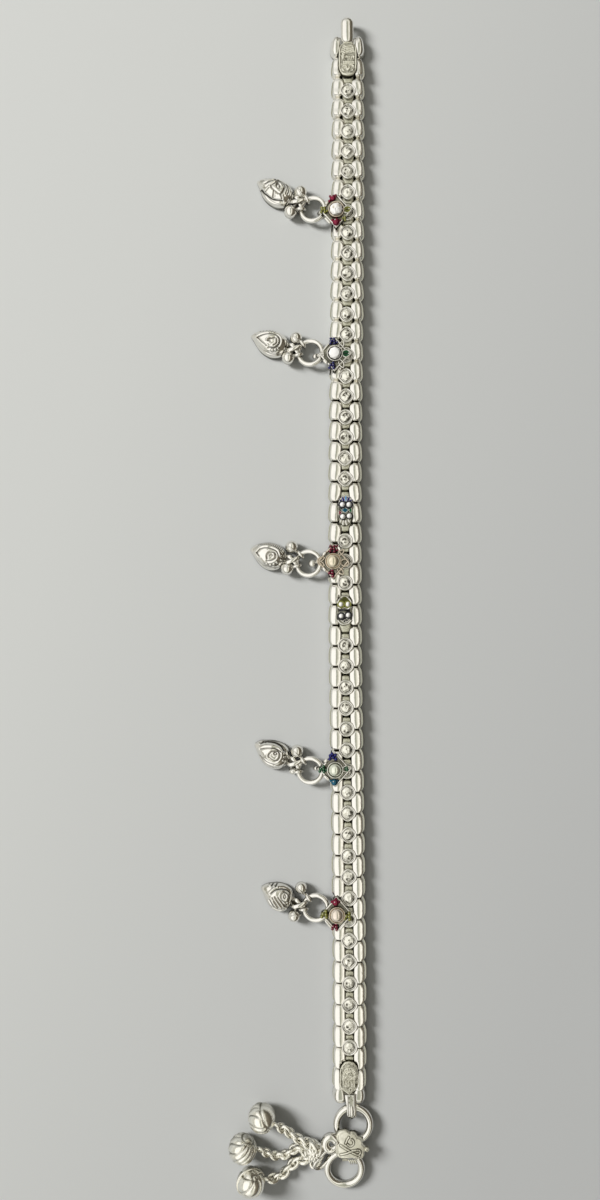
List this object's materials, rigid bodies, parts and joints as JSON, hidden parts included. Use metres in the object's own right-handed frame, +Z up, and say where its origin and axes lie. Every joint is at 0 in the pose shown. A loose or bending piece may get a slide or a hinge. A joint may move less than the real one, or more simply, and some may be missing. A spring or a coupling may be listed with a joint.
{
  "type": "payal anklet",
  "caption": "Silver link anklet laid open, with stone-set links, enamelled flowers carrying mango drops, a hook, and end rings with a bell tassel.",
  "frame": {"origin": "centre of the band's flat back, half way between the two rows of end plates, on the surface that the anklet lies on", "axes": "+Y along the band towards the hook, +X across it away from the drops, +Z up from the surface"},
  "size_m": [0.0319, 0.2652, 0.0062],
  "materials": {
    "silver": "cast silver, bright polished with darkened recesses",
    "stamped_silver": "stamped silver with a matt ground",
    "enamel": "glossy translucent vitreous enamel with silver cloisons",
    "stone": "white crystal and pearl, polished"
  },
  "bodies": {
    "root": {"band_section_1": "silver", "band_section_2": "silver", "band_section_3": "silver", "band_section_4": "silver", "band_section_5": "silver", "band_section_6": "silver", "band_section_7": "silver", "band_section_8": "silver", "band_section_9": "silver", "band_section_10": "silver", "hook_plate": "stamped_silver", "end_plate": "stamped_silver", "enamel_plaque_1": "enamel", "enamel_plaque_2": "enamel", "strap_loop": "silver", "upper_ring": "silver", "lower_ring": "silver", "ring_ornament": "silver", "tassel_link": "silver", "tassel_chain_1": "silver", "bell_1": "silver", "tassel_chain_2": "silver", "bell_2": "silver", "tassel_chain_3": "silver", "bell_3": "silver", "flower_setting_1": "silver", "flower_stone_1": "stone", "jump_ring_1": "silver", "mango_charm_1": "silver", "flower_setting_2": "silver", "flower_stone_2": "stone", "jump_ring_2": "silver", "mango_charm_2": "silver", "flower_setting_3": "silver", "flower_stone_3": "stone", "jump_ring_3": "silver", "mango_charm_3": "silver", "flower_setting_4": "silver", "flower_stone_4": "stone", "jump_ring_4": "silver", "mango_charm_4": "silver", "flower_setting_5": "silver", "flower_stone_5": "stone", "jump_ring_5": "silver", "mango_charm_5": "silver"}
  },
  "joints": []
}
